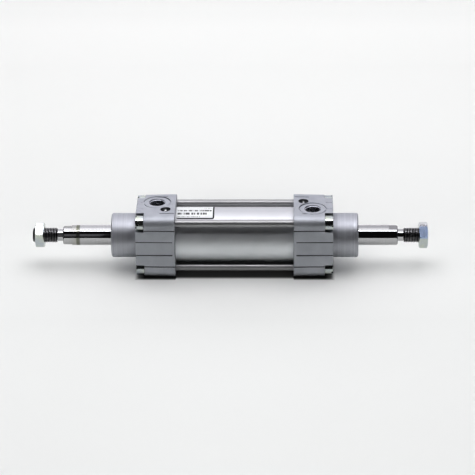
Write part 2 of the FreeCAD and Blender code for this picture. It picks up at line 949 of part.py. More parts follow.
def cushion_sleeve(document, label):
    """Sleeve on the rod beside the piston, from its tapered nose at X = 0."""
    body = new_body(document, label)
    radius = size("sleeve_radius")
    nose = size("sleeve_nose")
    bore = size("sleeve_bore_radius")
    end = size("sleeve_length")
    revolve(body, "Sleeve", [
        (ZERO, bore),
        (ZERO, radius - 0.8),
        (nose, radius),
        (end, radius),
        (end, bore),
    ])
    return body


# ---------------------------------------------------------------- parts inside the caps


def rod_wiper(document, label):
    """Wiper ring in the mouth of the collar, its lip leaning outwards on the rod."""
    body = new_body(document, label)
    gap = size("seal_gap")
    start = -size("collar_length") + 0.3
    end = start + size("wiper_depth") - 0.35
    lip = size("rod_radius") + size("lip_gap")
    outer = size("wiper_radius") - gap
    revolve(body, "Wiper", [
        (start, lip),
        (start + 0.3, lip + 1),
        (start + 0.9, lip + 1.6),
        (start + 0.6, outer - 0.6),
        (start + 0.9, outer),
        (end, outer),
        (end, lip + 0.6),
        (end - 1.6, lip),
    ])
    return body


def cushion_screw(document, label):
    """Needle screw drawn upright on the Z axis, with a slotted stub on top."""
    body = new_body(document, label)
    stub = size("screw_stub_radius")
    thread = size("screw_thread_radius")
    shaft = size("screw_bore_radius")
    revolve_upright(body, "Screw", [
        (ZERO, size("screw_tip_level")),
        (size("screw_tip_radius"), size("screw_tip_level")),
        (shaft, size("screw_cone_level") + 0.8),
        (shaft, size("screw_gland_low")),
        (size("screw_gland_radius"), size("screw_gland_low")),
        (size("screw_gland_radius"), size("screw_gland_high")),
        (shaft, size("screw_gland_high")),
        (shaft, size("screw_thread_floor") + 0.5),
        (thread, size("screw_thread_floor") + 1),
        (thread, size("screw_body_top") - 0.3),
        (thread - 0.3, size("screw_body_top")),
        (stub, size("screw_body_top")),
        (stub, size("screw_stub_top") - 0.15),
        (stub - 0.15, size("screw_stub_top")),
        (ZERO, size("screw_stub_top")),
    ])
    slot = new_sketch(body, "SlotSketch", "XY_Plane", size("screw_stub_top"))
    half = size("screw_slot_width") / 2
    draw_rectangle(slot, -stub - 1, stub + 1, -half, half)
    pocket(body, slot, size("screw_slot_depth"))
    return body


def upright_ring(document, label):
    """Flattened O-ring in the cushion screw's groove, drawn round the Z axis."""
    body = new_body(document, label)
    low = size("screw_gland_low") + 0.1
    high = size("screw_gland_high") - 0.1
    inner = size("screw_gland_radius") + 0.02
    outer = size("screw_bore_radius") + 0.02
    bevel = fixed(0.25)
    revolve_upright(body, "Ring", [
        (inner, low + bevel),
        (inner + bevel, low),
        (outer - bevel, low),
        (outer, low + bevel),
        (outer, high - bevel),
        (outer - bevel, high),
        (inner + bevel, high),
        (inner, high - bevel),
    ])
    return body


def cap_inner_parts(document, side):
    """Seals, bearing and cushion screw of one cap, drawn as for the left cap."""
    gap = size("seal_gap")
    rod = size("rod_radius") + size("lip_gap")
    start = size("bearing_start")
    end = size("bearing_end")
    parts = [plain_ring(
        document, side + "_rod_bearing", start, end - 0.1,
        size("bearing_bore_radius"), size("bearing_radius") - size("joint_gap"),
    )]
    parts.append(rod_wiper(document, side + "_rod_wiper"))

    seal_width = size("rod_seal_end") - size("rod_seal_start") - 0.2
    seal = lip_seal(document, side + "_rod_seal", seal_width, rod,
                    size("rod_seal_radius") - gap)
    # the notch faces the pressure, so the seal is turned end for end in the cap
    place(seal, (DIMENSIONS["rod_seal_end"] - 0.1, 0, 0), (0, 0, 1), 180)
    parts.append(seal)

    cushion_width = size("cushion_gland_end") - size("cushion_gland_start") - 0.2
    cushion = lip_seal(document, side + "_cushion_seal", cushion_width,
                       size("sleeve_radius") + size("lip_gap"),
                       size("cushion_gland_radius") - gap)
    place(cushion, (DIMENSIONS["cushion_gland_start"] + 0.1, 0, 0))
    parts.append(cushion)

    section = (size("tube_inner_radius") - size("tube_gland_radius")) / 2 - 0.02
    middle = (size("tube_inner_radius") + size("tube_gland_radius")) / 2
    ring = round_ring(document, side + "_tube_oring", middle, section)
    ring_at = (DIMENSIONS["tube_gland_start"] + DIMENSIONS["tube_gland_end"]) / 2
    place(ring, (ring_at, 0, 0))
    parts.append(ring)

    at_screw = (DIMENSIONS["screw_from_face"], -DIMENSIONS["screw_offset"], 0)
    parts.append(place(cushion_screw(document, side + "_cushion_screw"), at_screw))
    parts.append(place(upright_ring(document, side + "_cushion_screw_oring"), at_screw))
    return parts


# ---------------------------------------------------------------- assembly


def turn_to_right_end(part):
    """Move a sub-part drawn at the left end to the same place at the right end."""
    spin = FreeCAD.Rotation(FreeCAD.Vector(0, 0, 1), 180)
    to_right = FreeCAD.Placement(FreeCAD.Vector(DIMENSIONS["body_length"], 0, 0), spin)
    part.Placement = to_right.multiply(part.Placement)


CORNERS = (
    ("front_top", -1, 1),
    ("front_bottom", -1, -1),
    ("back_top", 1, 1),
    ("back_bottom", 1, -1),
)


def build_barrel(document):
    """Everything that stays still: caps, tube, tie rods, nuts, seals and sticker."""
    parts = [barrel_tube(document), barrel_label(document)]
    for side in ("left", "right"):
        group = [end_cap(document, side + "_end_cap")] + cap_inner_parts(document, side)
        for name, across, up in CORNERS:
            nut = tie_rod_nut(document, "%s_%s_nut" % (side, name))
            offset = DIMENSIONS["tie_rod_offset"]
            turned = -across if side == "right" else across
            place(nut, (0, turned * offset, up * offset), (1, 0, 0), 12 * up + 5 * across)
            group.append(nut)
        if side == "right":
            for part in group:
                turn_to_right_end(part)
        parts += group
    for name, across, up in CORNERS:
        rod = tie_rod(document, name + "_tie_rod")
        offset = DIMENSIONS["tie_rod_offset"]
        parts.append(place(rod, (0, across * offset, up * offset)))
    return parts


def build_rod(document):
    """Everything on the piston rod, with the rod-end nuts."""
    middle = DIMENSIONS["piston_middle"]
    half = DIMENSIONS["piston_half_length"]
    sleeve = DIMENSIONS["sleeve_length"]
    gap = size("seal_gap")
    parts = [
        place(left_rod(document), angle=-13.5),
        place(right_rod(document), angle=-3.5),
        place(rod_nut(document, "left_rod_nut"), (DIMENSIONS["left_nut_start"], 0, 0), angle=34.5),
        place(rod_nut(document, "right_rod_nut"), (DIMENSIONS["right_nut_start"], 0, 0), angle=44.5),
        place(piston_half(document, "piston_left_half"), (middle - half, 0, 0)),
        place(piston_half(document, "piston_right_half"), (middle + half, 0, 0), (0, 0, 1), 180),
        place(cushion_sleeve(document, "left_cushion_sleeve"), (middle - half - sleeve, 0, 0)),
        place(cushion_sleeve(document, "right_cushion_sleeve"), (middle + half + sleeve, 0, 0),
              (0, 0, 1), 180),
    ]
    parts.append(place(
        round_ring(document, "piston_rod_oring",
                   size("piston_bore_radius") + size("rod_oring_radius"),
                   size("rod_oring_radius") - 0.03),
        (middle, 0, 0),
    ))

    seat = size("piston_half_length") - size("piston_end_land") - size("piston_gland_length")
    guide = seat - size("piston_mid_land")
    magnet = guide - size("guide_ledge")
    parts.append(place(
        plain_ring(document, "piston_magnet", -magnet + 0.1, magnet - 0.1,
                   size("magnet_seat_radius") + gap, size("guide_seat_radius") - size("magnet_gap")),
        (middle, 0, 0),
    ))
    parts.append(place(
        plain_ring(document, "piston_guide_ring", -guide + 0.05, guide - 0.05,
                   size("guide_seat_radius") + gap, size("guide_outer_radius")),
        (middle, 0, 0),
    ))

    seal_width = size("piston_gland_length") - 0.2
    seal_inner = size("piston_gland_radius") + gap
    seal_outer = size("tube_inner_radius") - size("lip_gap")
    reach = half - DIMENSIONS["piston_end_land"] - 0.1
    parts.append(place(
        lip_seal(document, "piston_left_seal", seal_width, seal_inner, seal_outer),
        (middle - reach, 0, 0),
    ))
    parts.append(place(
        lip_seal(document, "piston_right_seal", seal_width, seal_inner, seal_outer),
        (middle + reach, 0, 0), (0, 0, 1), 180,
    ))
    return parts


def check_document(document, parts):
    """Stop if any feature failed or any sub-part has no valid shape."""
    for item in document.Objects:
        bad = [word for word in item.State if word in ("Invalid", "Error")]
        if bad:
            raise RuntimeError("%s is %s" % (item.Name, ", ".join(bad)))
    for part in parts:
        if part.Shape.isNull() or not part.Shape.isValid():
            raise RuntimeError("%s has no valid shape" % part.Label)


def main():
    """Build every sub-part and write each one to its own STEP file."""
    document = FreeCAD.newDocument("Cylinder")
    make_sheet(document)
    parts = build_barrel(document) + build_rod(document)
    document.recompute()
    check_document(document, parts)
    os.makedirs("parts", exist_ok=True)
    for part in parts:
        part.Shape.exportStep(os.path.join("parts", part.Label + ".step"))
    print("wrote", len(parts), "sub-parts")


main()
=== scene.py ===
import json
import math

import bmesh
import bpy
from mathutils import Matrix, Vector


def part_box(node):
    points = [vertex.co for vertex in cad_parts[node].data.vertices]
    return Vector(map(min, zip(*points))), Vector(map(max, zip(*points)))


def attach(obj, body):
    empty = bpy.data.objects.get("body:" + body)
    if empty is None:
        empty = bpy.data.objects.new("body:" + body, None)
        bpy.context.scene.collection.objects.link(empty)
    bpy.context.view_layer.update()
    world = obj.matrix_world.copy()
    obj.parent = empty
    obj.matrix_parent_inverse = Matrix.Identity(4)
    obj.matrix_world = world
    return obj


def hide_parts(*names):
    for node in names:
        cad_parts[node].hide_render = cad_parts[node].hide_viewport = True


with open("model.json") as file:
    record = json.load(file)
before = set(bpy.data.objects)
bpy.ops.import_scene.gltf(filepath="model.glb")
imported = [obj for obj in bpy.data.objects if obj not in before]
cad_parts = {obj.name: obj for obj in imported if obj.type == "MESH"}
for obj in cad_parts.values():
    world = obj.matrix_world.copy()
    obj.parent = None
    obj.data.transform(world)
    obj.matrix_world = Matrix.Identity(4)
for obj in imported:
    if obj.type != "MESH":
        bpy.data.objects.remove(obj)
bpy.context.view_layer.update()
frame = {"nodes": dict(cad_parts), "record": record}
MM = 0.001

# ------------------------------------------------------------------ sizes and places

# the caps: their outer faces, one collar's length inside their ends, and the length from there to the tube
COLLAR_LENGTH = 20 * MM
LEFT_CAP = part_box("left_end_cap")
RIGHT_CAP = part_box("right_end_cap")
LEFT_FACE = LEFT_CAP[0].x + COLLAR_LENGTH
RIGHT_FACE = RIGHT_CAP[1].x - COLLAR_LENGTH
BODY_MIDDLE = Vector(((LEFT_FACE + RIGHT_FACE) / 2, 0, 0))
BODY_HALF = (RIGHT_FACE - LEFT_FACE) / 2
CAP_BODY_LENGTH = 31 * MM
FLOOR_Z = LEFT_CAP[0].z

# ports and cushion screws, from the cap's outer face and from the middle plane
PORT_FROM_FACE = 16 * MM
PORT_FROM_MIDDLE = 6 * MM
SCREW_FROM_FACE = 23.2 * MM
SCREW_FROM_MIDDLE = 7.65 * MM

# reach of the surfaces of a cap that are not cast: collar and bore from the rod's axis, then the holes in
# the top, by height above the axis and round their own middles
COLLAR_INNER = 12.3 * MM
BORE_REACH = 13.3 * MM
HOLES_FLOOR = 13.0 * MM
HOLES_TOP = 25.6 * MM
PORT_REACH = 6.6 * MM
RECESS_REACH = 4.05 * MM

# grooves in the caps: places from the middle plane, and limits that take in their walls
GROOVE_PLACES = (5.6 * MM, 15.5 * MM)
GROOVE_REACH = 0.42 * MM
GROOVE_FLOOR = 25.0 * MM
GROOVE_TOP = 26.18 * MM
SHORT_GROOVE_LENGTH = 5.8 * MM

# the through rod, from the frame: its middle, its shoulders and its spanner flats
ROD_ENDS = (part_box("left_rod")[0].x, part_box("right_rod")[1].x)
ROD_MIDDLE = (ROD_ENDS[0] + ROD_ENDS[1]) / 2
ROD_THREAD_LENGTH = 24 * MM
SHOULDER_FROM_MIDDLE = (ROD_ENDS[1] - ROD_ENDS[0]) / 2 - ROD_THREAD_LENGTH
ROD_RADIUS = 8.0 * MM
FLATS_ACROSS = 13.0 * MM
FLATS_LENGTH = 7.0 * MM
GREASE_RING_X = -46.7 * MM

# shapes of the threads, as shares of one pitch, and of the rod's threaded ends
CREST_SHARE = 0.14
ROOT_SHARE = 0.12
ROD_PITCH = 1.25 * MM
ROD_ROOT = 5.25 * MM
ROD_CREST = 5.98 * MM
TIP_RADIUS = 5.08 * MM
RELIEF_RADIUS = 4.7 * MM
RELIEF_LENGTH = 4.4 * MM
SHOULDER_CHAMFER = 0.8 * MM
INSIDE_FLATS = 6.4 * MM
PORT_PITCH = 1.337 * MM
PORT_WALL = 6.57 * MM
PORT_CREST = 5.72 * MM


# ------------------------------------------------------------------ shader helpers


class Nodes:
    """Short way to add and join shader nodes in one material."""

    def __init__(self, name):
        self.material = bpy.data.materials.new(name)
        self.material.use_nodes = True
        self.tree = self.material.node_tree
        self.shader = next(n for n in self.tree.nodes if n.type == "BSDF_PRINCIPLED")

    def add(self, kind, inputs=(), **settings):
        node = self.tree.nodes.new(kind)
        for key, value in settings.items():
            setattr(node, key, value)
        for key, value in dict(inputs).items():
            self.put(node.inputs[key], value)
        return node

    def put(self, socket, value):
        if isinstance(value, bpy.types.NodeSocket):
            self.tree.links.new(value, socket)
        else:
            socket.default_value = value

    def math(self, operation, *values):
        node = self.add("ShaderNodeMath", operation=operation)
        for socket, value in zip(node.inputs, values):
            self.put(socket, value)
        return node.outputs[0]

    def ramp(self, value, low, high, start, end):
        node = self.add("ShaderNodeMapRange", {
            "Value": value, "From Min": low, "From Max": high, "To Min": start, "To Max": end})
        return node.outputs[0]

    def mix(self, share, first, second):
        node = self.add("ShaderNodeMix", data_type="RGBA")
        self.put(node.inputs[0], share)
        self.put(node.inputs[6], first)
        self.put(node.inputs[7], second)
        return node.outputs[2]

    def noise(self, vector, scale, detail=3.0, roughness=0.5):
        node = self.add("ShaderNodeTexNoise", {
            "Vector": vector, "Scale": scale, "Detail": detail, "Roughness": roughness})
        return node.outputs[0]

    def place(self):
        return self.add("ShaderNodeTexCoord").outputs["Object"]

    def stretch(self, vector, x, y, z):
        node = self.add("ShaderNodeMapping", {"Vector": vector, "Scale": (x, y, z)})
        return node.outputs[0]

    def split(self, vector):
        return self.add("ShaderNodeSeparateXYZ", {"Vector": vector}).outputs

    def join(self, x, y, z):
        return self.add("ShaderNodeCombineXYZ", {"X": x, "Y": y, "Z": z}).outputs[0]

    def length(self, first, second):
        """Length of two sides at right angles."""
        squares = [self.math("MULTIPLY", side, side) for side in (first, second)]
        return self.math("SQRT", self.math("ADD", *squares))

    def radius(self, vector):
        """Distance from the rod's axis."""
        parts = self.split(vector)
        return self.length(parts[1], parts[2])

    def distance(self, value, place):
        """How far a value is from a place, on either side."""
        return self.math("ABSOLUTE", self.math("SUBTRACT", value, place))

    def bump(self, height, distance, strength=1.0, normal=None):
        inputs = {"Height": height, "Distance": distance, "Strength": strength}
        if normal is not None:
            inputs["Normal"] = normal
        return self.add("ShaderNodeBump", inputs).outputs[0]

    def finish(self, colour, roughness, normal=None, metallic=1.0, specular=0.5):
        self.put(self.shader.inputs["Base Color"], colour)
        self.put(self.shader.inputs["Roughness"], roughness)
        self.put(self.shader.inputs["Metallic"], metallic)
        self.shader.inputs["Specular IOR Level"].default_value = specular
        if normal is not None:
            self.put(self.shader.inputs["Normal"], normal)
        return self.material


def rgb(r, g, b):
    return (r, g, b, 1.0)


# ------------------------------------------------------------------ materials

# rows of dashes on the sticker, in millimetres:
# place round the tube, half height, start and end along X, dash length, darkness
LABEL_ROWS = (
    (6.6, 0.45, 34.0, 52.0, 1.1, 0.7),
    (2.7, 0.45, 53.5, 59.5, 0.9, 0.8),
    (-2.1, 1.00, 32.6, 59.3, 1.2, 0.95),
    (-6.1, 1.15, 32.6, 55.5, 1.5, 1.0),
    (-9.6, 0.40, 32.6, 50.3, 0.9, 0.6),
)


def cast_metal():
    """Blasted die-cast aluminium: fine grain, cloudy tone and slightly brighter wear."""
    n = Nodes("cast_cap")
    at = n.place()
    cloud = n.noise(at, 90.0, 4.0)
    grain = n.noise(at, 2600.0, 3.0, 0.6)
    colour = n.mix(n.ramp(cloud, 0.3, 0.7, 0.0, 1.0), rgb(0.54, 0.555, 0.585), rgb(0.61, 0.625, 0.655))
    colour = n.mix(n.ramp(grain, 0.35, 0.65, 0.0, 0.25), colour, rgb(0.65, 0.67, 0.70))
    rough = n.ramp(grain, 0.3, 0.7, 0.57, 0.67)
    normal = n.bump(grain, 0.02 * MM, 0.6)
    normal = n.bump(n.noise(at, 500.0, 2.0), 0.03 * MM, 0.5, normal)
    return n.finish(colour, rough, normal)


def turned_metal(name, dark, light, rough, groove=0.012, marks=0.0):
    """Turned metal: fine rings round the axis, with wider turning marks as strong as marks says."""
    n = Nodes(name)
    at = n.place()
    pitch = 3200.0
    rings = n.join(n.split(at)[0], n.radius(at), 0.0)
    lines = n.noise(rings, pitch, 2.0, 0.7)
    broad = n.noise(rings, pitch / 12, 2.0)
    colour = n.mix(n.ramp(lines, 0.3, 0.7, 0.0, 0.6), dark, light)
    colour = n.mix(n.ramp(broad, 0.42, 0.62, 0.0, 0.4), colour, light)
    if marks:
        wide = n.noise(rings, pitch / 4, 1.0)
        colour = n.mix(n.ramp(wide, 0.56, 0.66, 0.0, marks), colour, rgb(1.0, 1.0, 1.0))
        colour = n.mix(n.ramp(wide, 0.34, 0.44, marks, 0.0), colour, rgb(0.2, 0.2, 0.22))
    roughness = n.ramp(broad, 0.3, 0.7, rough * 0.88, rough * 1.15)
    normal = n.bump(lines, groove * MM, 0.7)
    return n.finish(colour, roughness, normal)


def drawn_metal(name, dark, light, rough, below=None, film=False):
    """Drawn metal: faint straight lines along X, soft patches, and a tone below the axis, which on the tube
    is painted light from the floor.

    A film is painted shade: black on top of the two lower tie rods, on the side of the tube, in the dark
    gap below it.
    """
    n = Nodes(name)
    at = n.place()
    parts = n.split(at)
    lines = n.noise(n.stretch(at, 0.6, 2600.0, 2600.0), 1.0, 3.0, 0.6)
    patch = n.noise(at, 60.0, 3.0)
    colour = n.mix(n.ramp(lines, 0.3, 0.7, 0.0, 1.0), dark, light)
    # painted light: the lower half takes this tone for the floor's light that it mirrors
    if below is not None:
        colour = n.mix(n.ramp(parts[2], 3.0 * MM, 13.0 * MM, 1.0, 0.0), colour, below)
    # painted shade on top of the lower tie rods, in the gap under the tube
    if film:
        inward = n.ramp(n.math("ABSOLUTE", parts[1]), 20.05 * MM, 20.65 * MM, 0.85, 0.0)
        upper_half = n.ramp(parts[2], -18.6 * MM, -18.0 * MM, 0.0, 1.0)
        lower_rods = n.ramp(parts[2], -15.0 * MM, -14.0 * MM, 1.0, 0.0)
        painted_gap_shade = n.math("MULTIPLY", inward, n.math("MULTIPLY", upper_half, lower_rods))
        colour = n.mix(painted_gap_shade, colour, rgb(0.01, 0.01, 0.01))
    roughness = n.ramp(patch, 0.3, 0.7, rough * 0.95, rough * 1.07)
    normal = n.bump(lines, 0.0015 * MM, 0.4)
    return n.finish(colour, roughness, normal)


def chromed_rod():
    """Ground and chromed rod with milled, duller flats and one old grease ring left of the wiper.

    The grease also leaves a faint haze on the side of the tip.
    """
    n = Nodes("rod_chrome")
    at = n.place()
    parts = n.split(at)
    lines = n.noise(n.stretch(at, 5200.0, 60.0, 60.0), 1.0, 2.0)
    smear = n.noise(n.stretch(at, 300.0, 90.0, 90.0), 1.0, 3.0)
    colour = n.mix(n.ramp(lines, 0.3, 0.7, 0.0, 1.0), rgb(0.50, 0.50, 0.505), rgb(0.57, 0.57, 0.575))
    from_ring = n.math("SUBTRACT", parts[0], GREASE_RING_X)
    ring = n.ramp(n.math("ABSOLUTE", from_ring), 0.9 * MM, 1.9 * MM, 0.62, 0.0)
    haze_left = n.ramp(from_ring, -7.5 * MM, -0.6 * MM, 0.0, 0.34)
    haze = n.math("MULTIPLY", haze_left, n.ramp(from_ring, 0.0, 0.8 * MM, 1.0, 0.0))
    colour = n.mix(haze, colour, rgb(0.34, 0.34, 0.24))
    colour = n.mix(ring, colour, rgb(0.12, 0.13, 0.08))
    along_flats = n.math("SUBTRACT", n.distance(parts[0], ROD_MIDDLE), SHOULDER_FROM_MIDDLE - FLATS_LENGTH)
    past_start = n.ramp(along_flats, 0.0, 0.1 * MM, 0.0, 1.0)
    before_end = n.ramp(along_flats, FLATS_LENGTH - 0.1 * MM, FLATS_LENGTH, 1.0, 0.0)
    inside_round = n.ramp(n.radius(at), ROD_RADIUS - 0.2 * MM, ROD_RADIUS - 0.1 * MM, 1.0, 0.0)
    milled = n.math("MULTIPLY", inside_round, n.math("MULTIPLY", past_start, before_end))
    colour = n.mix(milled, colour, rgb(0.385, 0.385, 0.39))
    roughness = n.math("ADD", n.ramp(smear, 0.3, 0.7, 0.05, 0.10), n.math("MULTIPLY", ring, 0.25))
    roughness = n.math("ADD", roughness, n.math("MULTIPLY", milled, 0.07))
    normal = n.bump(lines, 0.002 * MM, 0.4)
    return n.finish(colour, roughness, normal)


def zinc_plate():
    """Clear zinc plate: bluish steel with a faint yellow-green drift and fine scratches.

    The top faces of the right rod-end nut carry a painted reflection: bluer in front of its top ridge and
    paler behind it.
    """
    n = Nodes("zinc_steel")
    at = n.place()
    drift = n.noise(at, 120.0, 3.0)
    fine = n.noise(at, 1800.0, 3.0, 0.6)
    colour = n.mix(n.ramp(drift, 0.35, 0.65, 0.0, 1.0), rgb(0.50, 0.54, 0.58), rgb(0.58, 0.61, 0.54))
    colour = n.mix(n.ramp(fine, 0.4, 0.7, 0.0, 0.3), colour, rgb(0.68, 0.69, 0.66))
    parts = n.split(at)
    # painted reflection on the top faces of the right rod-end nut
    right_nut = n.ramp(parts[0], RIGHT_FACE + 5 * MM, RIGHT_FACE + 45 * MM, 0.0, 1.0)
    nut_top_reflection = n.math("MULTIPLY", right_nut, n.ramp(parts[2], 1.3 * MM, 1.9 * MM, 0.0, 1.0))
    past_ridge = n.ramp(parts[1], -4.4 * MM, -3.7 * MM, 0.0, 1.0)
    colour = n.mix(nut_top_reflection, colour, n.mix(past_ridge, rgb(0.43, 0.51, 0.66), rgb(0.62, 0.62, 0.66)))
    roughness = n.ramp(fine, 0.3, 0.7, 0.14, 0.24)
    return n.finish(colour, roughness, n.bump(fine, 0.01 * MM, 0.5))


def sticker():
    """White film with a dark frame line on three sides and rows of plain grey dashes."""
    n = Nodes("label")
    low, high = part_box("barrel_label")
    at = n.place()
    parts = n.split(at)
    half_length = (high.x - low.x) / 2
    radius = high.z
    half_width = math.asin(high.y / radius) * radius
    along = n.math("SUBTRACT", parts[0], (high.x + low.x) / 2)
    around = n.math("MULTIPLY", n.math("ARCTAN2", parts[1], parts[2]), radius)
    corner = 2.0 * MM
    past_end = n.math("SUBTRACT", along, half_length - corner)
    past_side = n.math("SUBTRACT", n.math("ABSOLUTE", around), half_width - corner)
    end_part = n.math("MAXIMUM", past_end, 0.0)
    side_part = n.math("MAXIMUM", past_side, 0.0)
    straight = n.math("MINIMUM", n.math("MAXIMUM", past_end, past_side), 0.0)
    from_edge = n.math("SUBTRACT", corner, n.math("ADD", n.length(end_part, side_part), straight))
    frame_line = n.ramp(n.distance(from_edge, 0.5 * MM), 0.55 * MM, 0.72 * MM, 0.97, 0.0)
    paper = n.noise(at, 900.0, 3.0)
    colour = n.mix(n.ramp(paper, 0.3, 0.7, 0.0, 1.0), rgb(0.73, 0.74, 0.765), rgb(0.78, 0.79, 0.81))
    for row, (level, half_height, start, end, dash, depth) in enumerate(LABEL_ROWS):
        off_row = n.distance(around, level * MM)
        in_row = n.ramp(off_row, (half_height - 0.08) * MM, (half_height + 0.08) * MM, depth, 0.0)
        dashes = n.noise(n.join(n.math("ADD", parts[0], 0.31 * row), 0.0, 0.0), 1000.0 / dash, 1.0)
        in_dash = n.ramp(dashes, 0.47, 0.50, 0.0, 1.0)
        after_start = n.ramp(parts[0], (start - 0.1) * MM, (start + 0.1) * MM, 0.0, 1.0)
        before_end = n.ramp(parts[0], (end - 0.1) * MM, (end + 0.1) * MM, 1.0, 0.0)
        share = n.math("MULTIPLY", n.math("MULTIPLY", in_row, in_dash),
                       n.math("MULTIPLY", after_start, before_end))
        colour = n.mix(share, colour, rgb(0.12, 0.12, 0.125))
    colour = n.mix(frame_line, colour, rgb(0.02, 0.02, 0.022))
    return n.finish(colour, n.ramp(paper, 0.3, 0.7, 0.38, 0.5), n.bump(paper, 0.004 * MM, 0.5),
                    metallic=0.0, specular=0.35)


def thread_metal(name, root, crest, root_colour, crest_colour, rough):
    """Cut thread, with a colour for its root and one for its crest, which lie at these radii."""
    n = Nodes(name)
    at = n.place()
    film = n.noise(at, 900.0, 3.0)
    height = n.ramp(n.radius(at), root, crest, 0.0, 1.0)
    colour = n.mix(height, root_colour, crest_colour)
    colour = n.mix(n.ramp(film, 0.4, 0.7, 0.0, 0.3), colour, root_colour)
    return n.finish(colour, n.ramp(film, 0.3, 0.7, rough, rough + 0.1), n.bump(film, 0.004 * MM, 0.5))


def moulded(name, dark, light, rough):
    """Moulded rubber or plastic with a fine matt skin."""
    n = Nodes(name)
    at = n.place()
    skin = n.noise(at, 1500.0, 3.0, 0.6)
    colour = n.mix(n.ramp(skin, 0.3, 0.7, 0.0, 1.0), dark, light)
    roughness = n.ramp(skin, 0.3, 0.7, rough, rough + 0.15)
    return n.finish(colour, roughness, n.bump(skin, 0.01 * MM, 0.6), metallic=0.0)


def dark_interior():
    """Machined bore with an oil film, painted dark as shade because little light gets in."""
    n = Nodes("oily_bore_painted_shade")
    at = n.place()
    film = n.noise(at, 700.0, 3.0)
    colour = n.mix(n.ramp(film, 0.3, 0.7, 0.0, 1.0), rgb(0.05, 0.05, 0.05), rgb(0.10, 0.10, 0.105))
    return n.finish(colour, n.ramp(film, 0.3, 0.7, 0.35, 0.5), n.bump(film, 0.01 * MM, 0.5))


def painted_light_patch(n, parts, along):
    """Share of painted light, a lighter floor tone round the object, except along the line of the object's
    own shadow.
    """
    near = n.math("MULTIPLY", n.ramp(parts[1], 0.085, 0.21, 1.0, 0.0),
                  n.ramp(parts[1], -0.095, -0.035, 0.0, 1.0))
    near = n.math("MULTIPLY", near, n.ramp(along, 0.095, 0.215, 1.0, 0.0))
    return n.math("MULTIPLY", near, n.ramp(n.distance(parts[1], 0.013), 0.013, 0.038, 0.0, 0.40))


def wedge_shade(n, parts, along):
    """Share of black in the narrow wedge below the caps' rounded edges and between them, below the tube."""
    past_end = n.math("SUBTRACT", along, BODY_HALF)
    at_cap = n.ramp(past_end, -CAP_BODY_LENGTH - 0.5 * MM, -CAP_BODY_LENGTH + 0.5 * MM, 0.0, 1.0)
    past_side = n.math("SUBTRACT", n.math("ABSOLUTE", parts[1]), LEFT_CAP[1].y)
    past_side = n.math("ADD", past_side, n.ramp(at_cap, 0.0, 1.0, 2.4 * MM, 0.0))
    outside = n.math("MAXIMUM", past_end, past_side)
    depth = n.math("MULTIPLY", n.ramp(at_cap, 0.0, 1.0, 0.88, 0.97),
                   n.ramp(past_end, -6 * MM, -1 * MM, 1.0, 0.7))
    return n.math("MULTIPLY", n.ramp(outside, -1.6 * MM, 1.7 * MM, 1.0, 0.0), depth)


def floor_paper():
    """Plain white floor with painted light, paler far off and round the object, and painted shade, dark in
    the wedge below the caps.
    """
    n = Nodes("floor")
    at = n.place()
    parts = n.split(at)
    tone = n.noise(at, 3.0, 2.0)
    colour = n.mix(n.ramp(tone, 0.3, 0.7, 0.0, 1.0), rgb(0.755, 0.76, 0.76), rgb(0.77, 0.775, 0.775))
    # painted light: the floor is paler towards the back
    colour = n.mix(n.ramp(parts[1], 0.02, 0.44, 0.0, 1.0), colour, rgb(0.868, 0.87, 0.87))
    colour = n.mix(n.ramp(parts[1], 0.43, 0.53, 0.0, 1.0), colour, rgb(0.915, 0.917, 0.917))
    along = n.distance(parts[0], BODY_MIDDLE.x)
    colour = n.mix(painted_light_patch(n, parts, along), colour, rgb(0.93, 0.93, 0.935))
    colour = n.mix(wedge_shade(n, parts, along), colour, rgb(0.0, 0.0, 0.0))
    return n.finish(colour, 0.9, metallic=0.0, specular=0.0)


def screw_head():
    """Cushion screw with a painted highlight in its middle and painted shade round it."""
    n = Nodes("cushion_screw")
    parts = n.split(n.place())
    off_x = n.math("SUBTRACT", n.distance(parts[0], BODY_MIDDLE.x), BODY_HALF - SCREW_FROM_FACE)
    off_y = n.math("SUBTRACT", n.math("ABSOLUTE", parts[1]), SCREW_FROM_MIDDLE)
    # painted highlight in the middle, painted shade in the ring round it
    painted_shade_ring = n.ramp(n.length(off_x, off_y), 1.5 * MM, 2.1 * MM, 0.0, 1.0)
    colour = n.mix(painted_shade_ring, rgb(0.90, 0.91, 0.92), rgb(0.05, 0.05, 0.055))
    return n.finish(colour, 0.45, metallic=0.25)


def stage_tone(name, radiance, colour=(1.0, 1.0, 1.0)):
    """Flat tone for a card or backdrop: it only sends out the light it is given."""
    n = Nodes(name)
    n.shader.inputs["Emission Color"].default_value = rgb(*colour)
    n.shader.inputs["Emission Strength"].default_value = radiance
    return n.finish(rgb(0.0, 0.0, 0.0), 1.0, metallic=0.0, specular=0.0)


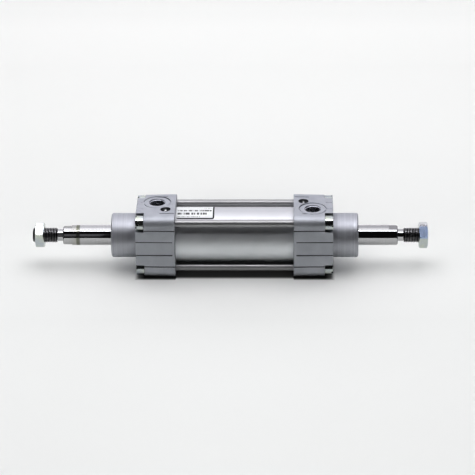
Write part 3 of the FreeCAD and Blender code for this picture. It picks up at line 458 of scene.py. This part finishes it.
MATERIALS = {
    "cast_cap": cast_metal(),
    "turned_collar": turned_metal(
        "turned_collar", rgb(0.50, 0.51, 0.54), rgb(0.66, 0.67, 0.70), 0.57, groove=0.004, marks=0.12),
    # the tube's lighter tone below its axis is painted light from the floor
    "anodised_tube": drawn_metal(
        "anodised_tube", rgb(0.69, 0.695, 0.71), rgb(0.74, 0.745, 0.76), 0.56, below=rgb(0.88, 0.90, 0.91)),
    "label": sticker(),
    # the tie rods' film is painted shade
    "tie_rod_steel": drawn_metal(
        "tie_rod_steel", rgb(0.44, 0.44, 0.445), rgb(0.50, 0.50, 0.50), 0.5, film=True),
    "zinc_steel": zinc_plate(),
    "rod_chrome": chromed_rod(),
    "seal_rubber": moulded("seal_rubber", rgb(0.02, 0.02, 0.02), rgb(0.04, 0.04, 0.04), 0.5),
    "seal_polyurethane": moulded(
        "seal_polyurethane", rgb(0.02, 0.03, 0.045), rgb(0.04, 0.055, 0.075), 0.4),
    "bearing_bronze": turned_metal("bearing_bronze", rgb(0.40, 0.26, 0.12), rgb(0.52, 0.35, 0.17), 0.35),
    "piston_aluminium": turned_metal(
        "piston_aluminium", rgb(0.48, 0.48, 0.49), rgb(0.60, 0.60, 0.61), 0.3),
    "guide_plastic": moulded("guide_plastic", rgb(0.08, 0.08, 0.085), rgb(0.13, 0.13, 0.14), 0.4),
    "magnet_ferrite": moulded("magnet_ferrite", rgb(0.04, 0.037, 0.035), rgb(0.07, 0.065, 0.06), 0.5),
    "sleeve_brass": turned_metal("sleeve_brass", rgb(0.50, 0.39, 0.17), rgb(0.62, 0.50, 0.24), 0.25),
}
# what a cap wears besides its cast metal, in the order of its material slots
CAP_FINISHES = (
    MATERIALS["turned_collar"],
    # oily bores, painted dark as shade
    dark_interior(),
    turned_metal("machined_recess", rgb(0.34, 0.345, 0.36), rgb(0.42, 0.425, 0.44), 0.4),
    # short milled grooves, painted nearly white as a highlight
    turned_metal("milled_groove_highlight", rgb(0.88, 0.89, 0.92), rgb(0.95, 0.95, 0.98), 0.45),
    # painted shade in the long grooves
    moulded("groove_painted_shade", rgb(0.06, 0.062, 0.066), rgb(0.10, 0.102, 0.108), 0.6),
)
CAST, TURNED, OILY_SHADED_BORE, RECESS, MILLED_HIGHLIGHT, SHADED_GROOVE = range(6)
# the rod's thread has a near-black root, painted shade in its grooves, and a paler crest that is partly a
# painted highlight; the port's has one tone all over
THREADS = {
    "rod": thread_metal(
        "rod_thread", 5.4 * MM, 5.9 * MM, rgb(0.03, 0.03, 0.032), rgb(0.62, 0.62, 0.63), 0.3),
    "port": thread_metal(
        "port_thread", 0.0, 1.0, rgb(0.48, 0.49, 0.53), rgb(0.48, 0.49, 0.53), 0.2),
}


def dress_cad_nodes():
    """Give every CAD node the material of its slot."""
    for entry in frame["record"]["subparts"]:
        mesh = frame["nodes"][entry["node"]].data
        mesh.materials.clear()
        mesh.materials.append(MATERIALS[entry["material_slot"]])


def in_top_holes(point, face_x, outward):
    """Whether a point is in the cushion screw's recess or down in the port hole."""
    along = (face_x - point.x) * outward
    across = point.y * outward
    from_recess = math.hypot(along - SCREW_FROM_FACE, across - SCREW_FROM_MIDDLE)
    from_port = math.hypot(along - PORT_FROM_FACE, across + PORT_FROM_MIDDLE)
    return HOLES_FLOOR < point.z < HOLES_TOP and (from_recess < RECESS_REACH or from_port < PORT_REACH)


def in_groove(depth, cross, places=GROOVE_PLACES):
    """Whether a place this far from the axis and from the middle plane is in one of a side's grooves."""
    offset = min(abs(abs(cross) - place) for place in places)
    return GROOVE_FLOOR < depth < GROOVE_TOP and offset < GROOVE_REACH


def cap_finish(point, face_x, outward):
    """Which finish the cap's surface has at a point."""
    from_face = (point.x - face_x) * outward
    radius = math.hypot(point.y, point.z)
    if from_face > 0.05 * MM and radius > COLLAR_INNER:
        return TURNED
    # bores inside the collar: oil film and painted shade
    if radius < BORE_REACH and from_face < COLLAR_LENGTH - 0.05 * MM:
        return OILY_SHADED_BORE
    if in_top_holes(point, face_x, outward):
        return RECESS
    if from_face > -0.01 * MM:
        return CAST
    # short grooves beside the ports: milled, and painted nearly white as a highlight
    if from_face > -SHORT_GROOVE_LENGTH and in_groove(point.z, point.y, GROOVE_PLACES[:1]):
        return MILLED_HIGHLIGHT
    # long grooves: painted shade
    if in_groove(abs(point.y), point.z) or in_groove(-point.z, point.y):
        return SHADED_GROOVE
    return CAST


def dress_cap(node, face_x, outward):
    """Turned collar, oily bores painted dark as shade, machined recesses, short milled lines painted nearly
    white as a highlight and long grooves painted dark as shade; the rest of the cap stays cast.
    """
    mesh = frame["nodes"][node].data
    for finish in CAP_FINISHES:
        mesh.materials.append(finish)
    for polygon in mesh.polygons:
        polygon.material_index = cap_finish(polygon.center, face_x, outward)


def dress_screws():
    """Give the cushion screws their own finish."""
    finish = screw_head()
    for node in ("left_cushion_screw", "right_cushion_screw"):
        mesh = frame["nodes"][node].data
        mesh.materials.clear()
        mesh.materials.append(finish)


dress_cad_nodes()
dress_screws()
dress_cap("left_end_cap", LEFT_FACE, -1)
dress_cap("right_end_cap", RIGHT_FACE, 1)


# ------------------------------------------------------------------ threads as true helices


def thread_fractions():
    """Places along one pitch where a V thread's profile has its corners, and its height there."""
    flank = (1 - CREST_SHARE - ROOT_SHARE) / 2
    return ((0.0, 0.0), (ROOT_SHARE, 0.0), (ROOT_SHARE + flank, 1.0), (1 - flank, 1.0))


def thread_height(turn):
    """Height of the V profile, 0 in the root and 1 on the crest, at a place counted in pitches."""
    share = turn - math.floor(turn)
    corners = thread_fractions() + ((1.0, 0.0),)
    for (low, low_height), (high, high_height) in zip(corners, corners[1:]):
        if share <= high:
            return low_height + (high_height - low_height) * (share - low) / max(high - low, 1e-9)
    return 0.0


def thread_rows(start, end, pitch, root, crest, limit, columns):
    """Rows of a skewed grid that follows a helix between two places, as (along, radius) per column."""
    rows = []
    turns = int(math.ceil(abs(end - start) / pitch)) + 1
    sign = 1 if end > start else -1
    for turn in range(-1, turns):
        for share, _ in thread_fractions():
            row = []
            for angle in columns:
                travel = (turn + share + angle / (2 * math.pi)) * pitch
                travel = min(max(travel, 0.0), abs(end - start))
                along = start + sign * travel
                radius = root + (crest - root) * thread_height(travel / pitch - angle / (2 * math.pi))
                row.append((along, limit(along, radius)))
            rows.append(row)
    return rows


def plain_row(along, radius, columns, cut=None):
    """One ring of the grid, cut down where a flat crosses it."""
    return [(along, cut(radius, angle) if cut else radius) for angle in columns]


def build_lathe(name, rows, columns, to_point, closed=False):
    """Mesh from rings of points; ends are filled, or joined to one another for a hollow ring."""
    mesh = bpy.data.meshes.new(name)
    shell = bmesh.new()
    grid = [[shell.verts.new(to_point(along, radius, angle))
             for (along, radius), angle in zip(row, columns)] for row in rows]
    pairs = list(zip(grid, grid[1:]))
    if closed:
        pairs.append((grid[-1], grid[0]))
    for first, second in pairs:
        for left, right in zip(range(len(columns)), range(1, len(columns))):
            shell.faces.new((first[left], first[right], second[right], second[left]))
    bmesh.ops.remove_doubles(shell, verts=shell.verts, dist=0.002 * MM)
    bmesh.ops.dissolve_degenerate(shell, edges=shell.edges, dist=0.0005 * MM)
    if not closed:
        open_edges = [edge for edge in shell.edges if edge.is_boundary]
        bmesh.ops.holes_fill(shell, edges=open_edges, sides=0)
    bmesh.ops.recalc_face_normals(shell, faces=shell.faces)
    shell.to_mesh(mesh)
    shell.free()
    for polygon in mesh.polygons:
        polygon.use_smooth = True
    mesh.set_sharp_from_angle(angle=math.radians(28))
    piece = bpy.data.objects.new(name, mesh)
    bpy.context.scene.collection.objects.link(piece)
    return piece


def rod_columns():
    """Angles round the rod from its flats, with columns on the flats' own edges."""
    count = 120
    edge = math.acos(FLATS_ACROSS / 2 / ROD_RADIUS)
    step = 2 * math.pi / count
    columns = []
    for index in range(count + 1):
        angle = index * step
        for crossing in (edge, math.pi - edge, math.pi + edge, 2 * math.pi - edge):
            if abs(angle - crossing) < step / 2:
                angle = crossing
        columns.append(angle)
    return columns


def rod_end_rows(shoulder, outward, columns):
    """Threaded end, relief groove, shoulder and spanner flats, from the tip inward."""
    tip = shoulder + outward * ROD_THREAD_LENGTH
    relief = shoulder + outward * RELIEF_LENGTH
    flats_end = shoulder - outward * FLATS_LENGTH

    def limit(along, radius):
        return min(radius, TIP_RADIUS + abs(along - tip), RELIEF_RADIUS + abs(along - relief) * 1.6)

    def flat(radius, angle):
        across = abs(math.cos(angle))
        return min(radius, FLATS_ACROSS / 2 / across) if across > 1e-6 else radius

    rows = [plain_row(tip, TIP_RADIUS, columns)]
    rows += thread_rows(tip, relief, ROD_PITCH, ROD_ROOT, ROD_CREST, limit, columns)
    rows += [
        plain_row(relief, RELIEF_RADIUS, columns),
        plain_row(shoulder, RELIEF_RADIUS, columns),
        plain_row(shoulder, INSIDE_FLATS, columns),
        plain_row(shoulder, ROD_RADIUS - SHOULDER_CHAMFER, columns, flat),
        plain_row(shoulder - outward * SHOULDER_CHAMFER, ROD_RADIUS, columns, flat),
        plain_row(flats_end, ROD_RADIUS, columns, flat),
        plain_row(flats_end, ROD_RADIUS, columns),
    ]
    return rows


def build_rod_half(name, outward, turn, inner):
    """One rod half with a helical thread, standing for the CAD rod half.

    The inner end is a list of places along X and radii there, in millimetres.
    """
    low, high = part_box(name)
    tip = high.x if outward > 0 else low.x
    shoulder = tip - outward * ROD_THREAD_LENGTH
    columns = rod_columns()
    rows = rod_end_rows(shoulder, outward, columns)
    rows += [plain_row(x * MM, radius * MM, columns) for x, radius in inner]

    def to_point(along, radius, angle):
        around = angle + turn
        return (along, radius * math.sin(around), radius * math.cos(around))

    piece = build_lathe(name + "_threaded", rows, columns, to_point)
    piece.data.materials.append(MATERIALS["rod_chrome"])
    piece.data.materials.append(THREADS["rod"])
    for polygon in piece.data.polygons:
        from_shoulder = (polygon.center.x - shoulder) * outward
        if RELIEF_LENGTH + 0.4 * MM < from_shoulder < ROD_THREAD_LENGTH - 0.05 * MM:
            polygon.material_index = 1
    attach(piece, "rod")
    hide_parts(name)


def build_port_thread(name, centre_x, centre_y):
    """Pipe thread inside a port hole, as a sleeve that lies against the hole's wall."""
    top, floor = 25.7 * MM, 13.3 * MM
    count = 96
    columns = [2 * math.pi / count * index for index in range(count + 1)]

    def limit(along, radius):
        return max(radius, PORT_WALL - (top - along), PORT_WALL - (along - floor))

    rows = thread_rows(top, floor, PORT_PITCH, PORT_WALL - 0.01 * MM, PORT_CREST, limit, columns)
    rows += [plain_row(floor, PORT_WALL, columns), plain_row(top, PORT_WALL, columns)]

    def to_point(along, radius, angle):
        return (centre_x + radius * math.cos(angle), centre_y + radius * math.sin(angle), along)

    piece = build_lathe(name, rows, columns, to_point, closed=True)
    piece.data.materials.append(THREADS["port"])
    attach(piece, "barrel")


# inner ends of the rod halves, in millimetres: the left half goes through the piston, and its pin goes on
# into a bore of the right half
PISTON_MIDDLE, PISTON_HALF = 73.8, 13.3
PISTON_START, PISTON_END = PISTON_MIDDLE - PISTON_HALF, PISTON_MIDDLE + PISTON_HALF
ROUND, SEAT, PIN, PIN_TIP, PIN_BORE = 8.0, 6.0, 4.0, 3.5, 4.02
PIN_CHAMFER, PIN_END, PIN_BORE_END = PISTON_MIDDLE + 24.8, PISTON_MIDDLE + 25.3, PISTON_MIDDLE + 26.3
build_rod_half("left_rod", -1, math.radians(13.5), (
    (PISTON_START, ROUND), (PISTON_START, SEAT), (PISTON_END, SEAT),
    (PISTON_END, PIN), (PIN_CHAMFER, PIN), (PIN_END, PIN_TIP)))
build_rod_half("right_rod", 1, math.radians(3.5), (
    (PISTON_END, ROUND), (PISTON_END, PIN_BORE), (PIN_BORE_END, PIN_BORE)))
build_port_thread("left_port_thread", LEFT_FACE + PORT_FROM_FACE, PORT_FROM_MIDDLE)
build_port_thread("right_port_thread", RIGHT_FACE - PORT_FROM_FACE, -PORT_FROM_MIDDLE)


# ------------------------------------------------------------------ stage


def add_sheet(name, corners, material,
              seen_by=("camera", "diffuse", "glossy", "transmission", "shadow")):
    """Flat stage sheet that only the named kinds of ray meet."""
    mesh = bpy.data.meshes.new(name)
    mesh.from_pydata(corners, [], [tuple(range(len(corners)))])
    mesh.materials.append(material)
    sheet = bpy.data.objects.new(name, mesh)
    sheet.visible_camera = "camera" in seen_by
    sheet.visible_diffuse = "diffuse" in seen_by
    sheet.visible_glossy = "glossy" in seen_by
    sheet.visible_transmission = "transmission" in seen_by
    sheet.visible_shadow = "shadow" in seen_by
    bpy.context.scene.collection.objects.link(sheet)


def add_floor():
    """Flat white floor just under the caps."""
    reach = 2.5
    z = FLOOR_Z - 0.02 * MM
    corners = [(-reach, -reach, z), (reach, -reach, z), (reach, reach, z), (-reach, reach, z)]
    add_sheet("floor", corners, floor_paper())


def add_backdrop():
    """Pale surroundings behind the floor, for the camera only."""
    mesh = bpy.data.meshes.new("backdrop")
    shell = bmesh.new()
    bmesh.ops.create_uvsphere(shell, u_segments=48, v_segments=24, radius=9.0)
    shell.to_mesh(mesh)
    shell.free()
    mesh.materials.append(stage_tone("backdrop", 0.93))
    backdrop = bpy.data.objects.new("backdrop", mesh)
    backdrop.visible_diffuse = False
    backdrop.visible_glossy = False
    backdrop.visible_transmission = False
    backdrop.visible_shadow = False
    bpy.context.scene.collection.objects.link(backdrop)


def add_cards():
    """Dark cards that the metal mirrors: the floor's front edge and a dim patch front left."""
    x, y, z = BODY_MIDDLE.x, -0.185, FLOOR_Z
    low = [(x - 1.2, y, z), (x + 1.2, y, z), (x + 1.2, y, 0.012), (x - 1.2, y, 0.012)]
    add_sheet("front_card", low, stage_tone("front_card", 0.0), ("glossy",))
    y = -0.32
    left = [(x - 0.9, y, 0.05), (x - 0.13, y, 0.05), (x - 0.13, y, 0.24), (x - 0.9, y, 0.24)]
    add_sheet("left_card", left, stage_tone("left_card", 0.24, (0.95, 0.95, 1.0)), ("glossy",))


def add_lamp(name, place, turn, size_x, size_y, radiance, colour=(1.0, 1.0, 1.0),
             diffuse=True, glossy=True):
    """Flat rectangular light of one radiance."""
    light = bpy.data.lights.new(name, "AREA")
    light.shape = "RECTANGLE"
    light.size = size_x
    light.size_y = size_y
    light.color = colour
    light.energy = radiance * math.pi * size_x * size_y
    lamp = bpy.data.objects.new(name, light)
    lamp.location = place
    lamp.rotation_euler = turn
    lamp.visible_camera = False
    lamp.visible_diffuse = diffuse
    lamp.visible_glossy = glossy
    lamp.visible_transmission = False
    bpy.context.scene.collection.objects.link(lamp)


def add_lamps():
    """Softbox and pale wall that the metal mirrors, brighter at the left, then four diffuse lights."""
    x = BODY_MIDDLE.x
    facing_down = (0, 0, 0)
    facing_front = (-math.pi / 2, 0, 0)
    facing_back = (math.pi / 2, 0, 0)
    cool, cooler = (0.97, 0.965, 1.0), (0.96, 0.95, 1.0)
    add_lamp("softbox_edge", (x, -0.255, 1.0), facing_down, 1.1, 0.21, 7.5, cool, diffuse=False)
    for half, side, share in (("left", -1, 1.1), ("right", 1, 0.9)):
        place = (x + side * 0.3, 0.17, 1.01)
        add_lamp("softbox_" + half, place, facing_down, 0.6, 0.64, 1.5 * share, cool, diffuse=False)
        place = (x + side * 2.0, 2.5, 2.6)
        add_lamp("back_wall_" + half, place, facing_front, 4.0, 5.2, 1.05 * share, cooler, diffuse=False)
    add_lamp("key_fill", (x, 0.035, 0.97), facing_down, 1.1, 0.87, 2.15, glossy=False)
    add_lamp("back_fill", (x, 2.42, 2.6), facing_front, 8.0, 5.2, 1.42, glossy=False)
    add_lamp("front_fill", (x, -2.0, 0.59), facing_back, 6.0, 0.89, 4.3, glossy=False)
    add_lamp("ceiling", (x, 0.4, 1.5), facing_down, 6.0, 6.0, 0.16, glossy=False)


def set_world():
    """Dark room round the lights."""
    world = bpy.data.worlds.new("room")
    bpy.context.scene.world = world
    world.use_nodes = True
    background = next(n for n in world.node_tree.nodes if n.type == "BACKGROUND")
    background.inputs["Color"].default_value = rgb(1.0, 1.0, 1.0)
    background.inputs["Strength"].default_value = 0.012


def add_camera():
    """Camera far off with a long lens, a little right of square and above the rod."""
    azimuth, elevation = math.radians(1.4), math.radians(25.5)
    distance, lens = 2.0, 191.0
    off_centre = 1.98 * MM
    back = Vector((math.sin(azimuth) * math.cos(elevation),
                   -math.cos(azimuth) * math.cos(elevation), math.sin(elevation)))
    right = Vector((math.cos(azimuth), math.sin(azimuth), 0))
    up = back.cross(right)
    roll = math.atan2(up.x, right.x)
    right, up = (right * math.cos(roll) + up * math.sin(roll),
                 up * math.cos(roll) - right * math.sin(roll))
    aim = BODY_MIDDLE + (right - up) * off_centre
    camera_data = bpy.data.cameras.new("camera")
    camera_data.lens = lens
    camera_data.sensor_width = 36.0
    camera_data.clip_start, camera_data.clip_end = 0.1, 20.0
    camera = bpy.data.objects.new("camera", camera_data)
    turn = Matrix((right, up, back)).transposed().to_4x4()
    camera.matrix_world = Matrix.Translation(aim + back * distance) @ turn
    bpy.context.scene.collection.objects.link(camera)
    bpy.context.scene.camera = camera


add_floor()
add_backdrop()
add_cards()
add_lamps()
set_world()
add_camera()
bpy.context.scene.view_settings.view_transform = "Standard"
bpy.context.scene.view_settings.gamma = 0.75
